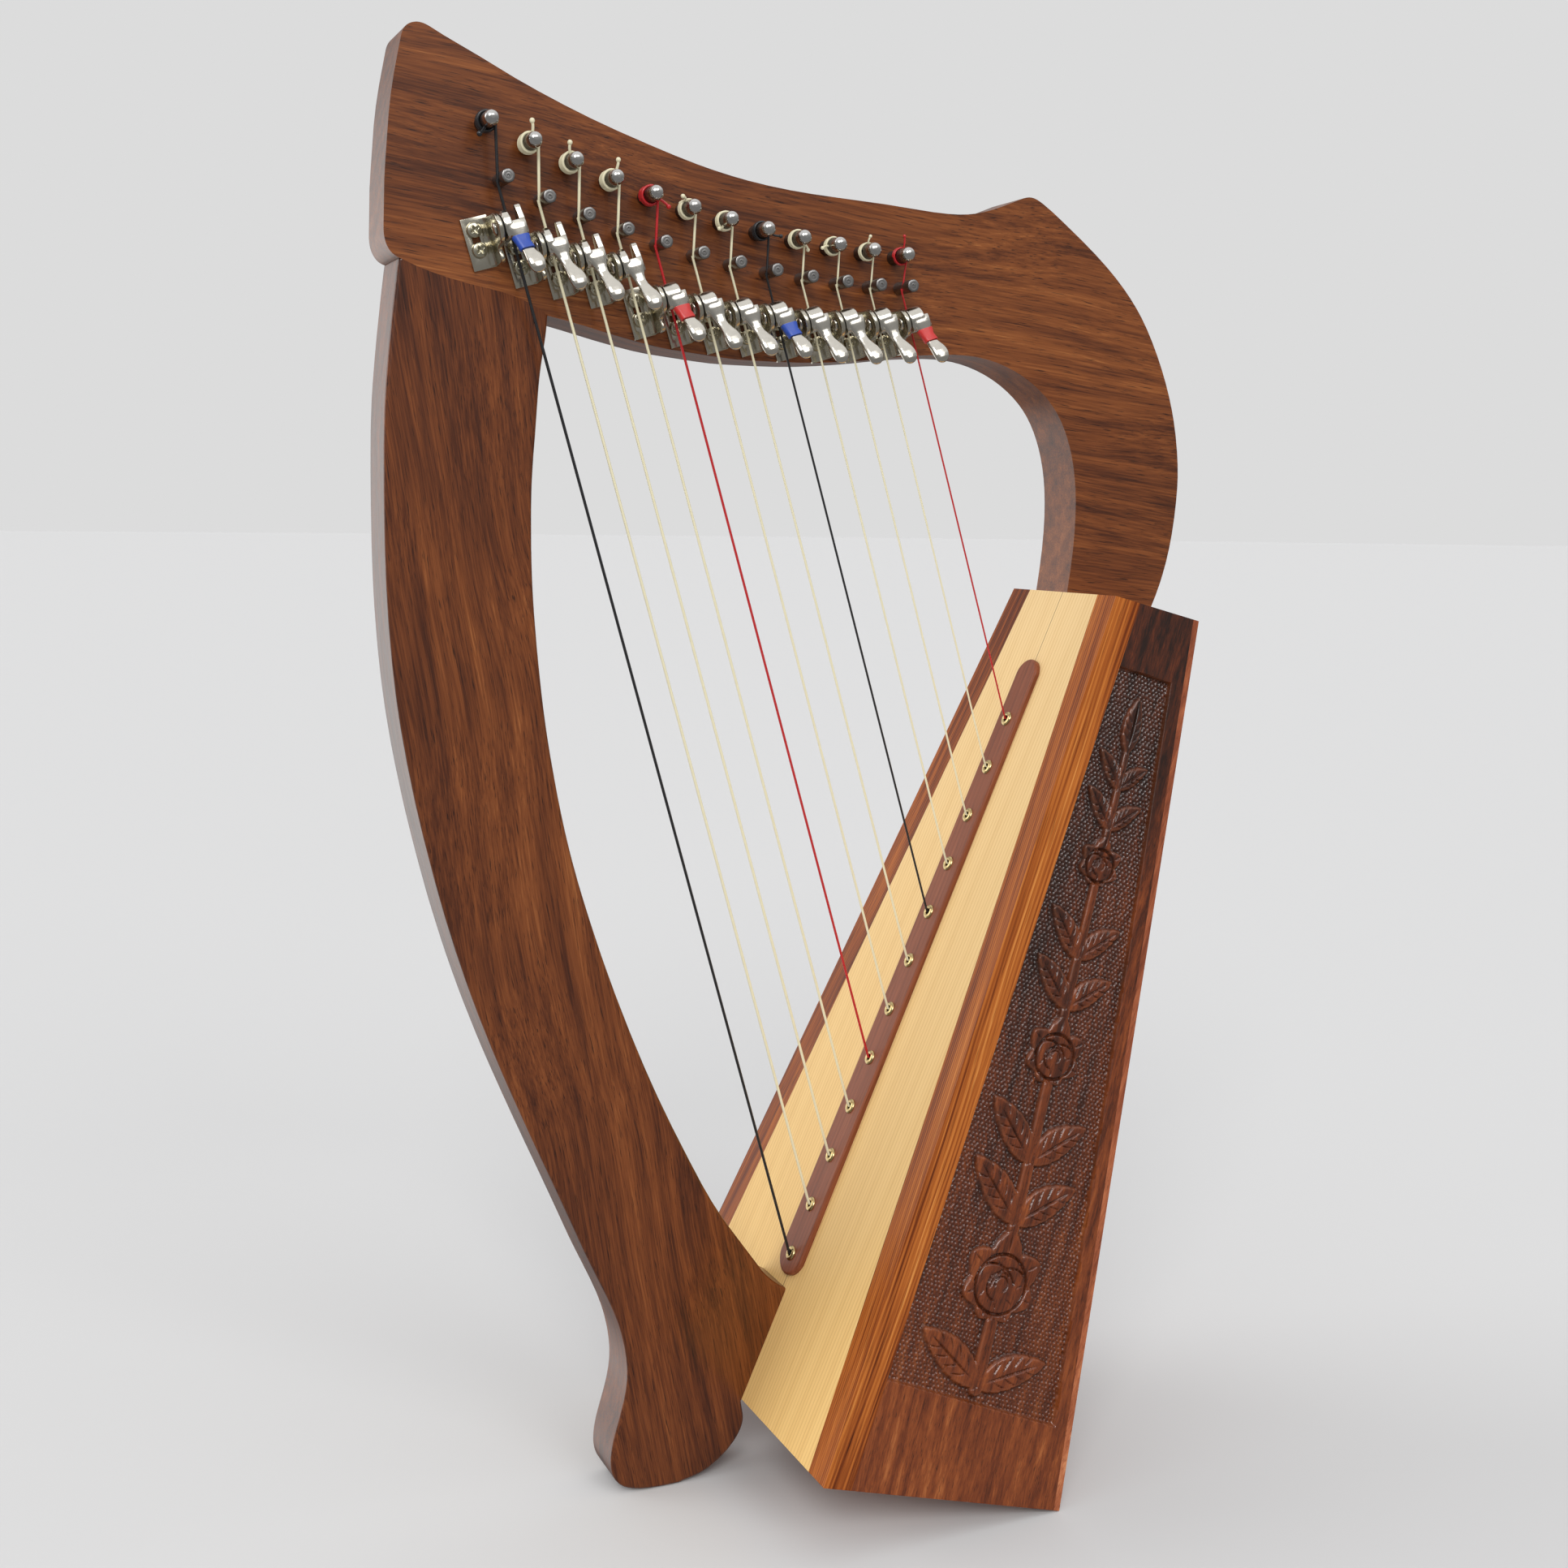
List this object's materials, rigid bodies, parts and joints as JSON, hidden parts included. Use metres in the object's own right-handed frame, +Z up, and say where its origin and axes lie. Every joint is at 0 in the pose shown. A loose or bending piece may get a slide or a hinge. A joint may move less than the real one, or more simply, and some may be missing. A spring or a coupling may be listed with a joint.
{
  "type": "small lever harp",
  "caption": "Small lap or table lever harp: curved dark wood neck and pillar, tapered soundbox with carved sides, spruce soundboard, nylon strings, flip levers and turning pins.",
  "frame": {"origin": "centre of the bounding box in x and y, on the surface the harp stands on", "axes": "+Z up; the neck, the pillar and the strings lie in planes parallel to XZ; -X towards the pillar (bass side), +X towards the player and the back of the soundbox; -Y out of the face of the neck that carries the levers"},
  "size_m": [0.3682, 0.1824, 0.6103],
  "materials": {
    "back_wood": "reddish brown, satin",
    "bridge_pin_steel": "matte turned steel",
    "dark_wood": "reddish dark brown, satin varnish, grain along the piece",
    "edge_wood": "striped orange-brown hardwood, satin varnish",
    "eyelet_brass": "polished",
    "inner_wood": "raw light wood",
    "lever_nickel": "polished nickel plate",
    "nylon_black": "smooth monofilament",
    "nylon_natural": "smooth translucent monofilament",
    "nylon_red": "smooth monofilament",
    "rib_wood": "reddish brown hardwood, satin",
    "screw_steel": "plated steel",
    "side_wood": "dark reddish brown, gloss lacquer, carved and stippled recess",
    "sleeve_blue": "soft plastic tube",
    "sleeve_red": "soft plastic tube",
    "spruce": "pale straight-grained softwood, satin",
    "tuning_pin_nickel": "polished nickel",
    "washer_black": "matte black"
  },
  "bodies": {
    "frame": {"back_braces": "inner_wood", "back_panel": "back_wood", "bottom_block": "inner_wood", "bridge_pins": "bridge_pin_steel", "edge_strip_left": "edge_wood", "edge_strip_right": "edge_wood", "eyelets": "eyelet_brass", "inner_string_strip": "inner_wood", "lever_axles": "lever_nickel", "lever_brackets": "lever_nickel", "lever_screws": "screw_steel", "lever_washers": "washer_black", "neck": "dark_wood", "neck_screws": "screw_steel", "pillar": "dark_wood", "pillar_block": "inner_wood", "pillar_dowels": "inner_wood", "pillar_screws": "screw_steel", "side_panel_left": "side_wood", "side_panel_right": "side_wood", "soundboard": "spruce", "soundboard_lining_left": "inner_wood", "soundboard_lining_right": "inner_wood", "string_knots": "nylon_natural", "string_rib": "rib_wood", "strings_black": "nylon_black", "strings_natural": "nylon_natural", "strings_red": "nylon_red", "top_block": "inner_wood"},
    "lever_01": {"lever_01": "lever_nickel", "lever_sleeve_01": "sleeve_blue"},
    "lever_02": {"lever_02": "lever_nickel"},
    "lever_03": {"lever_03": "lever_nickel"},
    "lever_04": {"lever_04": "lever_nickel"},
    "lever_05": {"lever_05": "lever_nickel", "lever_sleeve_05": "sleeve_red"},
    "lever_06": {"lever_06": "lever_nickel"},
    "lever_07": {"lever_07": "lever_nickel"},
    "lever_08": {"lever_08": "lever_nickel", "lever_sleeve_08": "sleeve_blue"},
    "lever_09": {"lever_09": "lever_nickel"},
    "lever_10": {"lever_10": "lever_nickel"},
    "lever_11": {"lever_11": "lever_nickel"},
    "lever_12": {"lever_12": "lever_nickel", "lever_sleeve_12": "sleeve_red"},
    "tuning_pin_01": {"tuning_pin_01": "tuning_pin_nickel"},
    "tuning_pin_02": {"tuning_pin_02": "tuning_pin_nickel"},
    "tuning_pin_03": {"tuning_pin_03": "tuning_pin_nickel"},
    "tuning_pin_04": {"tuning_pin_04": "tuning_pin_nickel"},
    "tuning_pin_05": {"tuning_pin_05": "tuning_pin_nickel"},
    "tuning_pin_06": {"tuning_pin_06": "tuning_pin_nickel"},
    "tuning_pin_07": {"tuning_pin_07": "tuning_pin_nickel"},
    "tuning_pin_08": {"tuning_pin_08": "tuning_pin_nickel"},
    "tuning_pin_09": {"tuning_pin_09": "tuning_pin_nickel"},
    "tuning_pin_10": {"tuning_pin_10": "tuning_pin_nickel"},
    "tuning_pin_11": {"tuning_pin_11": "tuning_pin_nickel"},
    "tuning_pin_12": {"tuning_pin_12": "tuning_pin_nickel"}
  },
  "joints": [
    {"name": "tuning_pin_01_turn", "type": "hinge", "parent": "frame", "child": "tuning_pin_01", "pos_m": [-0.1437, 0.01, 0.5749], "axis": [0, 1, 0], "continuous": true},
    {"name": "tuning_pin_02_turn", "type": "hinge", "parent": "frame", "child": "tuning_pin_02", "pos_m": [-0.1266, 0.01, 0.5683], "axis": [0, 1, 0], "continuous": true},
    {"name": "tuning_pin_03_turn", "type": "hinge", "parent": "frame", "child": "tuning_pin_03", "pos_m": [-0.1099, 0.01, 0.5622], "axis": [0, 1, 0], "continuous": true},
    {"name": "tuning_pin_04_turn", "type": "hinge", "parent": "frame", "child": "tuning_pin_04", "pos_m": [-0.0934, 0.01, 0.5568], "axis": [0, 1, 0], "continuous": true},
    {"name": "tuning_pin_05_turn", "type": "hinge", "parent": "frame", "child": "tuning_pin_05", "pos_m": [-0.0771, 0.01, 0.552], "axis": [0, 1, 0], "continuous": true},
    {"name": "tuning_pin_06_turn", "type": "hinge", "parent": "frame", "child": "tuning_pin_06", "pos_m": [-0.0609, 0.01, 0.5478], "axis": [0, 1, 0], "continuous": true},
    {"name": "tuning_pin_07_turn", "type": "hinge", "parent": "frame", "child": "tuning_pin_07", "pos_m": [-0.0448, 0.01, 0.5442], "axis": [0, 1, 0], "continuous": true},
    {"name": "tuning_pin_08_turn", "type": "hinge", "parent": "frame", "child": "tuning_pin_08", "pos_m": [-0.0287, 0.01, 0.5413], "axis": [0, 1, 0], "continuous": true},
    {"name": "tuning_pin_09_turn", "type": "hinge", "parent": "frame", "child": "tuning_pin_09", "pos_m": [-0.0126, 0.01, 0.539], "axis": [0, 1, 0], "continuous": true},
    {"name": "tuning_pin_10_turn", "type": "hinge", "parent": "frame", "child": "tuning_pin_10", "pos_m": [0.0035, 0.01, 0.5372], "axis": [0, 1, 0], "continuous": true},
    {"name": "tuning_pin_11_turn", "type": "hinge", "parent": "frame", "child": "tuning_pin_11", "pos_m": [0.0194, 0.01, 0.5359], "axis": [0, 1, 0], "continuous": true},
    {"name": "tuning_pin_12_turn", "type": "hinge", "parent": "frame", "child": "tuning_pin_12", "pos_m": [0.0352, 0.01, 0.535], "axis": [0, 1, 0], "continuous": true},
    {"name": "lever_01_flip", "type": "hinge", "parent": "frame", "child": "lever_01", "pos_m": [-0.13524, -0.0166, 0.5359], "axis": [-0.9596, 0, -0.2813], "range_deg": [0, 90]},
    {"name": "lever_02_flip", "type": "hinge", "parent": "frame", "child": "lever_02", "pos_m": [-0.11865, -0.0166, 0.53041], "axis": [-0.9589, 0, -0.2839], "range_deg": [0, 90]},
    {"name": "lever_03_flip", "type": "hinge", "parent": "frame", "child": "lever_03", "pos_m": [-0.10339, -0.0166, 0.5269], "axis": [-0.9579, 0, -0.287], "range_deg": [0, 90]},
    {"name": "lever_04_flip", "type": "hinge", "parent": "frame", "child": "lever_04", "pos_m": [-0.08781, -0.0166, 0.52427], "axis": [-0.9571, 0, -0.2899], "range_deg": [0, 90]},
    {"name": "lever_05_flip", "type": "hinge", "parent": "frame", "child": "lever_05", "pos_m": [-0.06933, -0.0166, 0.51279], "axis": [-0.9561, 0, -0.2929], "range_deg": [0, 90]},
    {"name": "lever_06_flip", "type": "hinge", "parent": "frame", "child": "lever_06", "pos_m": [-0.05358, -0.0166, 0.51027], "axis": [-0.9552, 0, -0.296], "range_deg": [0, 90]},
    {"name": "lever_07_flip", "type": "hinge", "parent": "frame", "child": "lever_07", "pos_m": [-0.0379, -0.0166, 0.5085], "axis": [-0.9544, 0, -0.2986], "range_deg": [0, 90]},
    {"name": "lever_08_flip", "type": "hinge", "parent": "frame", "child": "lever_08", "pos_m": [-0.02259, -0.0166, 0.50804], "axis": [-0.9535, 0, -0.3013], "range_deg": [0, 90]},
    {"name": "lever_09_flip", "type": "hinge", "parent": "frame", "child": "lever_09", "pos_m": [-0.00662, -0.0166, 0.50666], "axis": [-0.9526, 0, -0.3042], "range_deg": [0, 90]},
    {"name": "lever_10_flip", "type": "hinge", "parent": "frame", "child": "lever_10", "pos_m": [0.00927, -0.0166, 0.50684], "axis": [-0.9516, 0, -0.3073], "range_deg": [0, 90]},
    {"name": "lever_11_flip", "type": "hinge", "parent": "frame", "child": "lever_11", "pos_m": [0.02483, -0.0166, 0.50779], "axis": [-0.9501, 0, -0.3119], "range_deg": [0, 90]},
    {"name": "lever_12_flip", "type": "hinge", "parent": "frame", "child": "lever_12", "pos_m": [0.03986, -0.0166, 0.50872], "axis": [-0.9477, 0, -0.3192], "range_deg": [0, 90]}
  ]
}
